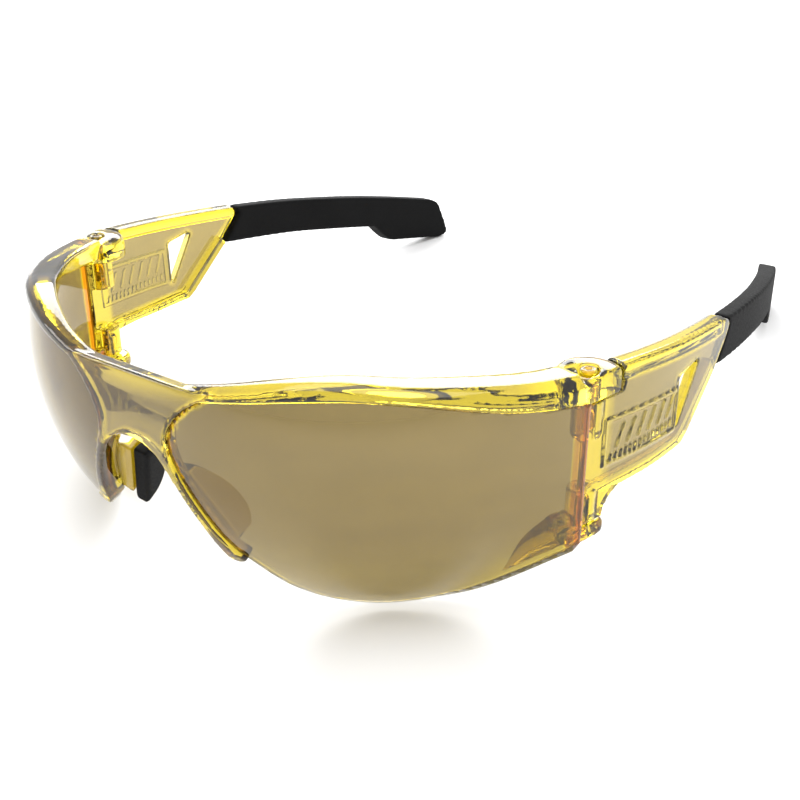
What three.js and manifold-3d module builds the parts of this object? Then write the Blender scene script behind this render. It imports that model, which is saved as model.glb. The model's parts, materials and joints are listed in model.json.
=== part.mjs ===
// Half-rim wraparound safety glasses: one front frame with a brow bar, bridge and nose arms, two
// curved lenses, two hinged temples with soft tips, two soft nose pads and four hinge pins.
// Millimetres. The glasses are drawn as worn (X across the face with X = 0 in the middle, Y rearward,
// Z up) and then tipped back about X until the lens rims and the temple tips stand on Z = 0.
import * as THREE from 'three';
import { LoftGeometry } from 'three/addons/geometries/LoftGeometry.js';
import { mergeVertices } from 'three/addons/utils/BufferGeometryUtils.js';
import Module from 'manifold-3d';

const wasm = await Module();
wasm.setup();

// ---- driving dimensions ----
const HALF_WIDTH = 71.6;      // centre plane to the widest point of a temple
const LENS_DROP = 42.3;       // lens rim below the top of the temples
const TEMPLE_REACH = 125;     // hinge axis to the end of the tip, along Y
const LENS_T = 2.1;           // lens thickness
const FRAME_PROUD = 0.9;      // frame skin in front of the lens
const FRAME_DEPTH = 4.3;      // depth of bridge and nose arms
const BAR_DEPTH = 3.4;        // depth of the brow bar over the nose
const BAR_GROWS = 4;          // how much deeper it is where it meets the domes
const WALL_T = 2.2;           // temple wall thickness
const RAIL_W = 4.6;           // width of the temple's top rail
const RAIL_H = 3.2;           // height of the rail
const FLANGE_W = 4.2;         // width of the temple's lower flange
const FLANGE_H = 1.8;         // height of the flange
const BADGE_W = 0.9;          // width of the badge border on the temple
const BADGE_PROUD = 0.4;      // how far it stands out
const TIP_T = 3.8;            // thickness of the soft tip at its front
const TIP_GROWS = 1.6;        // how much thicker it is at its pad
const TONGUE_T = 1.7;         // temple tongue inside the tip
const PAD_W = 6.4;            // nose pad, from its straight edge to its belly
const PAD_T = 3.4;            // nose pad thickness
const PAD_SOFT = 0.7;         // rounding of its edges
const FIN_T = 1.5;            // fin of the nose arm that carries the pad
const PEG_R = 0.8;            // pegs of the fin that key into the pad
const PIN_R = 1.1;            // hinge pin shank radius
const HEAD_R = 1.6;           // hinge pin head radius
const HEAD_T = 1.3;           // hinge pin head thickness
const BARREL_R = 3.1;         // temple hinge barrel radius
const DOME_R = 6.5;           // frame dome above the hinge
const BOSS_R = 5;             // lens boss below the hinge
const FIT = 0.3;              // gap between neighbouring pieces
const RUNNING = 0.09;         // radial clearance of a pin in the barrel

// ---- dimensions that follow ----
const kx = HALF_WIDTH / 71.6, kz = LENS_DROP / 42.3, ky = TEMPLE_REACH / 125;
const EYE = 9 * kx;                     // flat middle of the wrap, half width
const WRAP_R = 61.5 * kx;               // horizontal wrap radius at the lens front
const WRAP_V = 53 * kz;                 // vertical wrap radius at the lens front
const WRAP_Z = -7.2 * kz;               // height of the foremost line of the wrap
const FRONT_Y = -8.2;                   // foremost line of the lens front
const WRAP_Y = FRONT_Y + WRAP_R;        // centre of the wrap
const EDGE_Y = 35.1 * kx;               // outer edge of the lens
const FLARE_L = 15 * kx;                // length over which the wrap straightens towards that edge
const HINGE_X = EYE + Math.sqrt(WRAP_R ** 2 - (WRAP_Y - EDGE_Y) ** 2) + 0.3 - BARREL_R;
const HINGE_Y = EDGE_Y + BARREL_R + 0.4;
const BARREL_TOP = -0.9, BARREL_BOTTOM = -25.2 * kz;
const DOME_TOP = 4.6, BOSS_BOTTOM = -28.9 * kz;
const WIDE_Y = HINGE_Y + 33.4 * ky;     // where the temple is widest
const FORE_R = 150 * ky * ky / kx;      // bow of the temple in front of that
const AFT_R = 265 * ky * ky / kx;       // bow of the temple behind that

const P = (x, z) => new THREE.Vector2(x * kx, z * kz);
// a point on the side view: y is measured from the hinge axis
const Q = (y, z) => new THREE.Vector2(HINGE_Y + (y - 38.6) * ky, z * kz);

// ---- solids ----
function solid(geometry) {
  const plain = new THREE.BufferGeometry().copy(geometry);
  plain.deleteAttribute('normal');
  plain.deleteAttribute('uv');
  const m = mergeVertices(plain, 1e-4);
  return new wasm.Manifold(new wasm.Mesh({
    numProp: 3,
    vertProperties: new Float32Array(m.attributes.position.array),
    triVerts: new Uint32Array(m.index.array),
  }));
}

function geometryOf(manifold) {
  const m = manifold.getMesh();
  const g = new THREE.BufferGeometry();
  g.setAttribute('position', new THREE.BufferAttribute(new Float32Array(m.vertProperties), 3));
  g.setIndex(new THREE.BufferAttribute(new Uint32Array(m.triVerts), 1));
  return g;
}

function mirrored(manifold) {
  const g = geometryOf(manifold);
  return solid(g.clone().scale(-1, 1, 1).setIndex(
    new THREE.BufferAttribute(g.index.array.slice().reverse(), 1)));
}

const joined = (...parts) => parts.reduce((a, b) => a.add(b));
// everything in front of a given y
const aheadOf = (y) => solid(new THREE.BoxGeometry(200, 80, 200).translate(60, y - 40, -20));
const spline = (points, steps) => new THREE.SplineCurve(points).getPoints(steps);

// height of a smooth line through a few (x, z) points
function heightLine(points) {
  const curve = new THREE.SplineCurve(points);
  return (x) => {
    let low = 0, high = 1;
    for (let i = 0; i < 24; i++) {
      const mid = (low + high) / 2;
      if (curve.getPoint(mid).x < x) low = mid; else high = mid;
    }
    return curve.getPoint(low).y;
  };
}

// a polygon moved outward by d along its own normals
function grown(points, d) {
  const n = points.length, turn = THREE.ShapeUtils.area(points) > 0 ? 1 : -1;
  return points.map((p, i) => {
    const a = p.clone().sub(points[(i + n - 1) % n]).normalize();
    const b = points[(i + 1) % n].clone().sub(p).normalize();
    const t = a.add(b).normalize();
    return new THREE.Vector2(p.x + turn * t.y * d, p.y - turn * t.x * d);
  });
}

// outline in the XZ plane, extruded along Y
function frontPrism(points, y0, y1) {
  const g = new THREE.ExtrudeGeometry(new THREE.Shape(points), { depth: y1 - y0, bevelEnabled: false });
  return solid(g.rotateX(Math.PI / 2).translate(0, y1, 0));
}

// outline in the YZ plane, extruded along X
function sidePrism(points, x0, x1) {
  const g = new THREE.ExtrudeGeometry(new THREE.Shape(points), { depth: x1 - x0, bevelEnabled: false });
  return solid(g.rotateY(Math.PI / 2).rotateX(Math.PI / 2).translate(x0, 0, 0));
}

// round bar about the hinge axis from z0 to z1, with an optional edge radius at the top
function hingeRound(r, z0, z1, soft = 0) {
  const profile = [new THREE.Vector2(0, z0), new THREE.Vector2(r, z0)];
  for (let i = 0; i <= 4; i++) {
    const a = i / 4 * Math.PI / 2;
    profile.push(new THREE.Vector2(r - soft + soft * Math.cos(a), z1 - soft + soft * Math.sin(a)));
    if (soft === 0) break;
  }
  profile.push(new THREE.Vector2(0, z1));
  const g = new THREE.LatheGeometry(profile, 32);
  return solid(g.rotateX(Math.PI / 2).translate(HINGE_X, HINGE_Y, 0));
}

// ---- the wrap: a flat middle that turns into a torus on each side ----
// s runs along the wrap from the centre plane, phi is the tilt up or down, rho is the offset outward
function wrap(s, phi, rho) {
  const r = WRAP_R - WRAP_V + (WRAP_V + rho) * Math.cos(phi);
  const bend = Math.max(Math.abs(s) - EYE, 0) / WRAP_R;
  const flat = Math.min(Math.abs(s), EYE), y = WRAP_Y - r * Math.cos(bend);
  // towards the hinge the wrap straightens, so that its edge stands upright beside the temple
  const edge = WRAP_Y - EDGE_Y;
  const flare = Math.sqrt((WRAP_R + rho) ** 2 - edge ** 2) - Math.sqrt(r ** 2 - edge ** 2);
  const x = flat + r * Math.sin(bend) + flare * THREE.MathUtils.smoothstep(y, EDGE_Y - FLARE_L, EDGE_Y);
  return new THREE.Vector3(Math.sign(s) * x, y, WRAP_Z + (WRAP_V + rho) * Math.sin(phi));
}

// the point of the wrap at a given x and z
function wrapAt(x, z, rho) {
  const phi = Math.asin((z - WRAP_Z) / (WRAP_V + rho));
  const r = WRAP_R - WRAP_V + (WRAP_V + rho) * Math.cos(phi);
  return wrap(x > EYE ? EYE + WRAP_R * Math.asin((x - EYE) / r) : x, phi, rho);
}

function wrapShell(s0, s1, rho0, rho1, along, up) {
  const low = Math.asin((-47 * kz - WRAP_Z) / (WRAP_V + rho0)), high = Math.asin((11 - WRAP_Z) / WRAP_V);
  const sections = [];
  for (let i = 0; i <= along; i++) {
    const s = s0 + (s1 - s0) * i / along, ring = [];
    for (let j = 0; j <= up; j++) ring.push(wrap(s, low + (high - low) * j / up, rho1));
    for (let j = up; j >= 0; j--) ring.push(wrap(s, low + (high - low) * j / up, rho0));
    sections.push(ring);
  }
  return solid(new LoftGeometry(sections.reverse(), { capStart: true, capEnd: true }));
}

// ---- the temple's bowed wall: X of its outer face at a given y ----
function outerX(y) {
  const r = y < WIDE_Y ? FORE_R : AFT_R;
  return HALF_WIDTH - (r - Math.sqrt(r * r - (y - WIDE_Y) ** 2));
}

// everything between two depths under the outer face
function wallSlab(t0, t1, y0, y1, steps, grows = 0) {
  const sections = [];
  for (let i = 0; i <= steps; i++) {
    const y = y0 + (y1 - y0) * i / steps, x = outerX(y);
    const inner = t1 + grows * THREE.MathUtils.smoothstep(i / steps, 0.1, 0.75);
    sections.push([[inner, -60], [t0, -60], [t0, 20], [inner, 20]]
      .map(([t, z]) => new THREE.Vector3(x - t, y, z)));
  }
  return solid(new LoftGeometry(sections.reverse(), { capStart: true, capEnd: true }));
}

// ---- lines that pieces share ----
// lower line of the brow bar, where the lens comes out of it
const barLow = heightLine([P(0, -0.6), P(9, 0.3), P(17, 1.6), P(26, 3.1), P(35, 4.4), P(43, 4.8),
  P(52, 3.7), P(61, 1.3), P(67, 0), P(75, -0.6)]);
// top of the brow bar
const barTop = heightLine([P(0, 2.3), P(10, 3), P(20, 4.9), P(30, 6.8), P(40, 7.7), P(49, 7),
  P(58, 6.2), P(67, 5), P(75, 4.6)]);
const barDepth = (x) => BAR_DEPTH + BAR_GROWS * THREE.MathUtils.smoothstep(x / kx, 12, 60);
// nasal edge of the lens, from its top to its lower end
const nasalPoints = [P(18.3, 2.6), P(13.4, -0.5), P(10, -4.4), P(8.9, -8.3), P(10.1, -12.6),
  P(14.4, -21.3), P(16.5, -25.8), P(19.2, -30.2)];
const nasalLine = spline(nasalPoints, 20);
// underside of the bridge and the nose side of the arm
const bridgeLine = [P(0, -9.2), P(3.4, -9.6), P(6.5, -11.6), P(9, -15), P(11.4, -19.6), P(13.6, -24.4),
  P(15.2, -29)];
// middle of the nose arm's width at a given z
const byHeight = (points) => heightLine(points.map((p) => new THREE.Vector2(-p.y, p.x)));
const armIn = byHeight(bridgeLine), armOut = byHeight(nasalPoints.slice(3));
const armMiddle = (z) => (armIn(-z) + armOut(-z)) / 2;
// rim of the lens, from the nose arm to the outer corner
const rimLine = spline([P(20.4, -31), P(22.3, -33.4), P(25.2, -37.4), P(29.7, -40.6), P(36.3, -42.3),
  P(43, -41.6), P(50.2, -39.2), P(55.3, -36.5), P(60.1, -33.4), P(64.4, -30.6), P(67.7, -28.8),
  P(71, -27.6)], 28);

function lensOutline(grow) {
  const nose = nasalLine.map((p) => new THREE.Vector2(p.x - 1.1 - grow, p.y)).reverse();
  const top = [];
  for (let i = 0; i <= 12; i++) {
    const x = (17 + 53 * i / 12) * kx;
    top.push(new THREE.Vector2(x, barLow(x) + 1.3 + grow));
  }
  const rim = rimLine.map((p) => new THREE.Vector2(p.x, p.y - grow)).reverse();
  return [...rim, ...nose.slice(0, -1), ...top];
}

// ---- front frame ----
function browBar() {
  const sections = [];
  const reach = EYE + WRAP_R * Math.asin((HINGE_X - EYE) / (WRAP_R - 2.5));
  const n = 64;
  for (let i = 0; i <= n; i++) {
    const s = reach * (1 - 2 * i / n);
    const x = Math.abs(wrap(s, 0, 0).x);
    const low = barLow(x), top = barTop(x), proud = FRAME_PROUD, back = FRAME_PROUD - barDepth(x);
    const profile = [[proud, low], [proud * 0.95, (low + top) / 2], [proud * 0.3, top - 0.7],
      [-0.7, top], [back + 0.9, top], [back + 0.2, top - 0.5], [back, top - 1.4], [back, low - 0.4],
      [back + 0.7, low - 1.1], [proud - 1, low - 1.1], [proud, low - 0.6]];
    sections.push(profile.map(([rho, z]) => {
      const p = wrap(s, Math.asin((z - WRAP_Z) / WRAP_V), 0);
      const out = wrap(s, 0, 1).sub(wrap(s, 0, 0));
      return p.addScaledVector(out, rho).setZ(z);
    }));
  }
  return solid(new LoftGeometry(sections, { capStart: true, capEnd: true }));
}

function bridgeAndArms() {
  const outer = spline(bridgeLine, 16);
  const foot = spline([P(15.2, -29), P(16.4, -31.2), P(18.4, -31.6), P(20.2, -30.6), P(19.4, -29.6)], 8);
  const inner = nasalLine.slice().reverse().slice(1);
  const half = [...outer.slice(0, -1), ...foot, ...inner, P(18.3, 3.4)];
  const left = half.slice(1).map((p) => new THREE.Vector2(-p.x, p.y)).reverse();
  const plate = frontPrism([...half, ...left], -16, 12);
  return plate.intersect(wrapShell(-30 * kx, 30 * kx, FRAME_PROUD - FRAME_DEPTH, FRAME_PROUD, 20, 12));
}

function dome() {
  const body = hingeRound(DOME_R, BARREL_TOP + FIT, DOME_TOP, 1.8);
  return body.intersect(wallSlab(-0.5, 30, HINGE_Y - 12, HINGE_Y + 12, 6));
}

function frontFrame() {
  const bores = joined(hingeRound(PIN_R + FIT, -3, 9), hingeRound(HEAD_R + FIT, DOME_TOP - HEAD_T - FIT, 9));
  const ahead = aheadOf(EDGE_Y + FIT);
  const behind = solid(new THREE.BoxGeometry(60, 60, 60)
    .translate(HINGE_X, EDGE_Y + 30, BARREL_TOP + FIT - 30));
  const groove = wrapShell(0.5, 96 * kx, -LENS_T - FIT, FIT, 26, 12)
    .intersect(frontPrism(lensOutline(FIT), -16, 60)).intersect(ahead);
  const cut = joined(groove, bores, behind);
  const side = dome();
  const fin = padFin();
  return joined(browBar(), bridgeAndArms(), side, mirrored(side), fin, mirrored(fin))
    .subtract(cut).subtract(mirrored(cut));
}

// ---- right lens, with the thick lower corner that carries the lower hinge pin ----
function rightLens() {
  const ahead = aheadOf(EDGE_Y);
  const pane = wrapShell(0.5, 96 * kx, -LENS_T, 0, 26, 12).intersect(frontPrism(lensOutline(0), -16, 60))
    .intersect(ahead);
  const corner = [...rimLine.filter((p) => p.x > 49 * kx), P(70, -26), P(64, -26), P(60.5, -28.4),
    P(51, -38)];
  const thick = wrapShell(40 * kx, 96 * kx, -5.4, 0, 16, 12).intersect(frontPrism(corner, -16, 60))
    .intersect(ahead);
  const boss = hingeRound(BOSS_R, BOSS_BOTTOM, BARREL_BOTTOM - 0.6)
    .intersect(wallSlab(0, 30, HINGE_Y - 12, HINGE_Y + 12, 6));
  const bores = joined(hingeRound(PIN_R + FIT, -40 * kz, -20 * kz),
    hingeRound(HEAD_R + FIT, -40 * kz, BOSS_BOTTOM + HEAD_T + FIT));
  const clear = hingeRound(BARREL_R + 0.35, BARREL_BOTTOM - 0.6, 9);
  return joined(pane, thick, boss).subtract(joined(bores, clear));
}

// ---- right temple ----
const railTop = (y) => 4.6 - 0.094 * (y - 43.7);
const lowerRun = [Q(38.6, -20.5), Q(46, -20.2), Q(58, -20.6), Q(68.5, -20.4), Q(70.8, -19), Q(83, -8.7)];

function rightTemple() {
  const endY = HINGE_Y + 60 * ky;
  const seam = spline([Q(83, -8.7), Q(88.4, -2.6), Q(87.8, -0.4), Q(86, railTop(86) - 0.4)], 8);
  const top = [86, 75, 60, 50, 38.6].map((y) => Q(y, railTop(y)));
  const outline = [...lowerRun.slice(0, -1), ...seam, ...top];
  const slab = (t0, t1) => wallSlab(t0, t1, HINGE_Y, endY, 16);
  const windowHole = sidePrism([Q(64.6, -15.4), Q(65.4, -15.2), Q(72.4, -4.2), Q(71.9, -3.5),
    Q(64.9, -4.7), Q(64.4, -5.3)], HALF_WIDTH - 20, HALF_WIDTH + 5);
  const wall = slab(0, WALL_T).intersect(sidePrism(outline, 30, 90));
  const rail = slab(0, RAIL_W).intersect(sidePrism(
    [...top, ...top.slice().reverse().map((p) => new THREE.Vector2(p.x, p.y - RAIL_H))], 30, 90));
  // squared front of the wall, which closes against the edge of the lens, with a fillet down to the barrel
  const foreY = HINGE_Y - BARREL_R, mm = (y, z) => new THREE.Vector2(y, z);
  const front = wallSlab(0, WALL_T, foreY, HINGE_Y + 8, 3).intersect(sidePrism([
    mm(foreY, BARREL_BOTTOM), mm(HINGE_Y + BARREL_R - 0.4, BARREL_BOTTOM),
    mm(HINGE_Y + BARREL_R + 0.2, -23.2 * kz), mm(HINGE_Y + BARREL_R + 1.8, -21.4 * kz),
    mm(HINGE_Y + 7.4, -20.1 * kz), mm(HINGE_Y + 7.4, BARREL_TOP),
    mm(foreY, BARREL_TOP)], 30, 90));
  const inside = lowerRun.map((p, i) => new THREE.Vector2(p.x - [0, 0, 0, 0.8, 1.6, 1.6][i], p.y + FLANGE_H));
  const flange = slab(0, FLANGE_W).intersect(sidePrism([...lowerRun, ...inside.reverse()], 30, 90));
  const border = (d) => sidePrism([Q(40 + d, -14.6 + d), Q(64 - d, -15.8 + d), Q(63.8 - d, -6.4 - d),
    Q(39.8 + d, -5 - d)], 30, 90);
  const panel = slab(-BADGE_PROUD, 1).intersect(border(0).subtract(border(BADGE_W)));
  const mid = TIP_T / 2;
  const tongue = slab(mid - TONGUE_T / 2, mid + TONGUE_T / 2).intersect(sidePrism([Q(80, -6.6), Q(97, -6.4),
    Q(98.5, -5), Q(98.5, -3.8), Q(97, -2.4), Q(80, -1.2)], 30, 90));
  const barrel = joined(hingeRound(BARREL_R, BARREL_BOTTOM, -18.3 * kz),
    hingeRound(BARREL_R, -8.2 * kz, BARREL_TOP));
  const bores = joined(hingeRound(PIN_R + RUNNING, -7 * kz, 9),
    hingeRound(PIN_R + RUNNING, -40 * kz, -19.5 * kz));
  const domeClear = hingeRound(DOME_R + FIT, BARREL_TOP, 20);
  return joined(wall.subtract(windowHole), rail, flange, front, panel, tongue, barrel)
    .subtract(bores).subtract(domeClear);
}

// ---- right tip ----
function rightTip() {
  const top = spline([Q(89, -0.05), Q(107, -2.1), Q(128, -5.2), Q(143, -7.8), Q(158.5, -10.9)], 12);
  const end = spline([Q(158.5, -10.9), Q(160.8, -12.2), Q(162, -14.6), Q(164.3, -21), Q(163.6, -23),
    Q(161.2, -23.5)], 9);
  const under = [Q(145, -21.5), ...spline([Q(143.4, -21.1), Q(141, -19), Q(138.6, -16.6), Q(135.6, -15.6),
    Q(112, -12.1), Q(96, -10.3), Q(83.5, -9.05)], 14)];
  const seam = spline([Q(83.5, -9.05), Q(88.8, -2.6), Q(88.2, -0.4)], 5).slice(1);
  const outline = [...top.slice(0, -1), ...end, ...under, ...seam];
  const y0 = HINGE_Y + 40 * ky, y1 = HINGE_Y + 130 * ky;
  const half = TONGUE_T / 2 + FIT;
  const socket = wallSlab(TIP_T / 2 - half, TIP_T / 2 + half, y0, y0 + 22 * ky, 6).intersect(sidePrism(
    [Q(79, -7), Q(97.2, -6.8), Q(98.9, -5.2), Q(98.9, -3.6), Q(97.2, -2), Q(79, -0.8)], 30, 90));
  return wallSlab(0, TIP_T, y0, y1, 22, TIP_GROWS).intersect(sidePrism(outline, 20, 90)).subtract(socket);
}

// ---- right nose pad: a D-shaped cushion keyed to a fin that stands behind the nose arm ----
const padLength = 18.5 * kz;
const padLine = [[0, 0], [0.5, 0.08], [0.95, 0.42], [1, 0.76], [0.6, 0.97], [0, 1]];
const padDown = new THREE.Vector3(0.42, 0.3, -0.87).normalize();
const padBack = new THREE.Vector3(0.3, 0.95, 0).addScaledVector(padDown, -0.41).normalize();
const padOut = new THREE.Vector3().crossVectors(padDown, padBack);
const padRoot = new THREE.Vector3(6.4 * kx, -4, -15.4 * kz);
// a point by its distance back from the pad's straight edge, down along it and out of its outer face
const padPoint = (back, down, out) => padRoot.clone()
  .addScaledVector(padBack, back).addScaledVector(padDown, down).addScaledVector(padOut, out);
// how far the pad's belly reaches back, by the share of its length
const padBelly = heightLine(padLine.map(([u, v]) => new THREE.Vector2(v, u * PAD_W)));

function pegs(r, out0, out1) {
  const turn = new THREE.Quaternion().setFromUnitVectors(new THREE.Vector3(0, 1, 0), padOut);
  return joined(...[0.38, 0.68].map((v) => {
    const at = padPoint(PAD_W * 0.5, padLength * v, (out0 + out1) / 2);
    return solid(new THREE.CylinderGeometry(r, r, out1 - out0, 20).applyQuaternion(turn)
      .translate(at.x, at.y, at.z));
  }));
}

function padFin() {
  const sections = [];
  for (let i = 0; i <= 8; i++) {
    const v = 0.12 + 0.76 * i / 8, down = padLength * v, reach = padBelly(v) - 0.7;
    const z = padPoint(0, down, 2).z, mid = armMiddle(z);
    const sunk = FRAME_PROUD - FRAME_DEPTH + 0.6;
    sections.push([padPoint(0.1, down, FIT), padPoint(reach, down, FIT), padPoint(reach, down, FIT + FIN_T),
      padPoint(1.5, down, FIT + FIN_T), wrapAt(mid + 0.8, z, sunk), wrapAt(mid - 0.8, z, sunk)]);
  }
  const plate = solid(new LoftGeometry(sections, { capStart: true, capEnd: true }));
  return joined(plate, pegs(PEG_R, -1.6, FIT + FIN_T / 2));
}

function rightNosePad() {
  const at = ([u, v]) => new THREE.Vector2(PAD_W * u, -padLength * v);
  const outline = [...spline(padLine.map(at), 16), at([0, 0.75]), at([0, 0.5]), at([0, 0.25])];
  const layer = (depth, inset) => grown(outline, -inset).map((p) => padPoint(p.x, -p.y, -depth));
  const sections = [layer(0, PAD_SOFT), layer(PAD_SOFT, 0), layer(PAD_T - PAD_SOFT, 0),
    layer(PAD_T, PAD_SOFT)];
  return solid(new LoftGeometry(sections, { capStart: true, capEnd: true }))
    .subtract(wrapShell(0.5, 40 * kx, FRAME_PROUD - FRAME_DEPTH - FIT, 6, 14, 12))
    .subtract(pegs(PEG_R + FIT, -1.6 - FIT, 3));
}

// ---- pins ----
function pin(z0, z1, headAtTop) {
  const head = headAtTop ? [z1 - HEAD_T, z1] : [z0, z0 + HEAD_T];
  return joined(hingeRound(PIN_R, z0, z1), hingeRound(HEAD_R, head[0], head[1]));
}

// ---- materials ----
const amber = () => new THREE.MeshStandardMaterial({ color: 0xe2c52e, roughness: 0.12, metalness: 0,
  transparent: true, opacity: 0.7 });
const lensAmber = () => new THREE.MeshStandardMaterial({ color: 0xb9a063, roughness: 0.05, metalness: 0,
  transparent: true, opacity: 0.55 });
const black = () => new THREE.MeshStandardMaterial({ color: 0x1c1c1d, roughness: 0.6, metalness: 0 });
const clearPin = () => new THREE.MeshStandardMaterial({ color: 0xd8b52a, roughness: 0.2, metalness: 0 });

// ---- assembly ----
const lens = rightLens();
const pieces = [['front_frame', frontFrame(), amber]];
const pairs = [
  ['lens', lens, lensAmber],
  ['nose_pad', rightNosePad(), black],
  ['temple', rightTemple(), amber],
  ['temple_tip', rightTip(), black],
  ['upper_hinge_pin', pin(-6.4 * kz, DOME_TOP, true), clearPin],
  ['lower_hinge_pin', pin(BOSS_BOTTOM + 0.2, -20.1 * kz, false), clearPin],
];
for (const [name, body, material] of pairs) {
  pieces.push([`${name}_right`, body, material], [`${name}_left`, mirrored(body), material]);
}

// resting attitude: tip back until rim and tips touch one plane, then centre over the footprint
const geometries = pieces.map(([, body]) => geometryOf(body));
const lowest = (g, tilt) => {
  let low = Infinity;
  const p = g.attributes.position;
  for (let i = 0; i < p.count; i++) {
    low = Math.min(low, p.getZ(i) * Math.cos(tilt) - p.getY(i) * Math.sin(tilt));
  }
  return low;
};
const lensAt = pieces.findIndex(([name]) => name === 'lens_right');
const tipAt = pieces.findIndex(([name]) => name === 'temple_tip_right');
let tiltLow = 0, tiltHigh = 0.5;
for (let i = 0; i < 40; i++) {
  const tilt = (tiltLow + tiltHigh) / 2;
  const tipHigher = lowest(geometries[tipAt], tilt) > lowest(geometries[lensAt], tilt);
  if (tipHigher) tiltLow = tilt; else tiltHigh = tilt;
}
geometries.forEach((g) => g.rotateX(-tiltLow));
const box = new THREE.Box3();
geometries.forEach((g) => { g.computeBoundingBox(); box.union(g.boundingBox); });
const shift = new THREE.Vector3(0, -(box.min.y + box.max.y) / 2, -box.min.z);

const group = new THREE.Group();
pieces.forEach(([name, , material], i) => {
  const mesh = new THREE.Mesh(geometries[i].translate(shift.x, shift.y, shift.z), material());
  mesh.name = name;
  group.add(mesh);
});

export default group;
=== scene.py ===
import json
import math
import bpy
import bmesh
from mathutils import Matrix, Vector


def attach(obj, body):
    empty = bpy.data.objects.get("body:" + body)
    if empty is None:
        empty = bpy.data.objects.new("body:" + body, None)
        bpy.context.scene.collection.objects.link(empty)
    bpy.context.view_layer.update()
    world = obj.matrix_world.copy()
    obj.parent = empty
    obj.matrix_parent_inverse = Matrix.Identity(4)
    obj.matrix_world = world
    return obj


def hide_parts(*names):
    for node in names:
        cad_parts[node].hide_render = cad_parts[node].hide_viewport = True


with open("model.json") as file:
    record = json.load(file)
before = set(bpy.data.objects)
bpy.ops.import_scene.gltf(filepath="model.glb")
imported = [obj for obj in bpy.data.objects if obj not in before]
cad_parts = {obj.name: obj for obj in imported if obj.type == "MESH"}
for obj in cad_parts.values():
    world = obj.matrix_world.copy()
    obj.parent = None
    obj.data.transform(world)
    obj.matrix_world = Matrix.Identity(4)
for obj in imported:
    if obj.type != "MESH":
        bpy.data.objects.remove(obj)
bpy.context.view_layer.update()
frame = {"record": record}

# Half-rim wraparound safety glasses. Shapes are worked out in millimetres as worn (X across, Y rearward,
# Z up, the hinge axes upright) and then placed in the row frame, where the glasses stand tipped back.

# ---- sizes shared with the frame, in mm ----
HINGE_Y, HINGE_ZERO = 38.6, -12.0          # the hinge axis, and the height its joint is stated at
EYE, FRONT_Y = 9.0, -8.2                   # half the flat middle of the front, and its foremost line
WRAP_R, WRAP_V, WRAP_Z = 61.5, 53.0, -7.2  # radius of the wrap seen from above and from the side, its middle
WRAP_Y = FRONT_Y + WRAP_R
EDGE_Y, FLARE_L = 35.0, 15.0               # upright edge of the lens, and the run where the wrap straightens
HALF_WIDTH, WIDE_Y = 71.6, HINGE_Y + 33.4  # the widest place of the temples
FORE_R, AFT_R = 150.0, 265.0               # bow of the temples ahead of it and behind it
LENS_T, FRAME_PROUD, FRAME_DEPTH = 2.1, 0.9, 4.3
BARREL_R, DOME_R, BOSS_R, PIN_R = 3.1, 6.5, 5.0, 1.1
BARREL_TOP, BARREL_BOTTOM, DOME_TOP, BOSS_BOTTOM = -0.9, -25.2, 4.6, -28.9
KNUCKLES = ((BARREL_BOTTOM, -18.3), (-8.2, BARREL_TOP))
PIN_HEAD_R, PIN_HEAD_T = 1.6, 1.3

# ---- fineness of the meshes ----
ROUND_STEPS = 40                                                 # facets round a turned shape
FRAME_CELL, TEMPLE_CELL, TIP_CELL, PAD_CELL = 0.3, 0.2, 0.32, 0.22   # mm

joint = next(j for j in frame["record"]["behaviour"]["joints"] if j["name"] == "right_temple_hinge")
HINGE_X = joint["pos_m"][0] * 1000
TILT = math.atan2(joint["axis"][1], joint["axis"][2])
TURN = Matrix.Rotation(-TILT, 4, "X")
SHIFT = Vector([c * 1000 for c in joint["pos_m"]]) - TURN @ Vector((HINGE_X, HINGE_Y, HINGE_ZERO))
PLACE = Matrix.Scale(0.001, 4) @ Matrix.Translation(SHIFT) @ TURN


# ---- curves and surfaces of the wrap ----
def spline(points, count):
    """Points of a smooth line through a few (u, v) points."""
    pts = [Vector(p) for p in points]
    pts = [2 * pts[0] - pts[1]] + pts + [2 * pts[-1] - pts[-2]]
    spans = len(pts) - 3
    out = []
    for i in range(count + 1):
        t = i / count * spans
        k = min(int(t), spans - 1)
        t -= k
        a, b, c, d = pts[k:k + 4]
        out.append(0.5 * ((2 * b) + (c - a) * t + (2 * a - 5 * b + 4 * c - d) * t * t
                          + (3 * b - a - 3 * c + d) * t ** 3))
    return out


def height_line(points):
    """A function that gives v at |u| on the smooth line through a few (u, v) points."""
    line = spline(points, 200)

    def at(x):
        x = abs(x)
        for a, b in zip(line, line[1:]):
            if x <= b.x:
                return a.y + (b.y - a.y) * (x - a.x) / (b.x - a.x)
        return line[-1].y
    return at


def smoothstep(x, a, b):
    t = min(max((x - a) / (b - a), 0), 1)
    return t * t * (3 - 2 * t)


def flare(r, y):
    """How far the wrap straightens outward towards its upright edge beside the temple."""
    edge = WRAP_Y - EDGE_Y
    straight = math.sqrt(WRAP_R ** 2 - edge ** 2) - math.sqrt(max(r ** 2 - edge ** 2, 0))
    return straight * smoothstep(y, EDGE_Y - FLARE_L, EDGE_Y)


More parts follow.
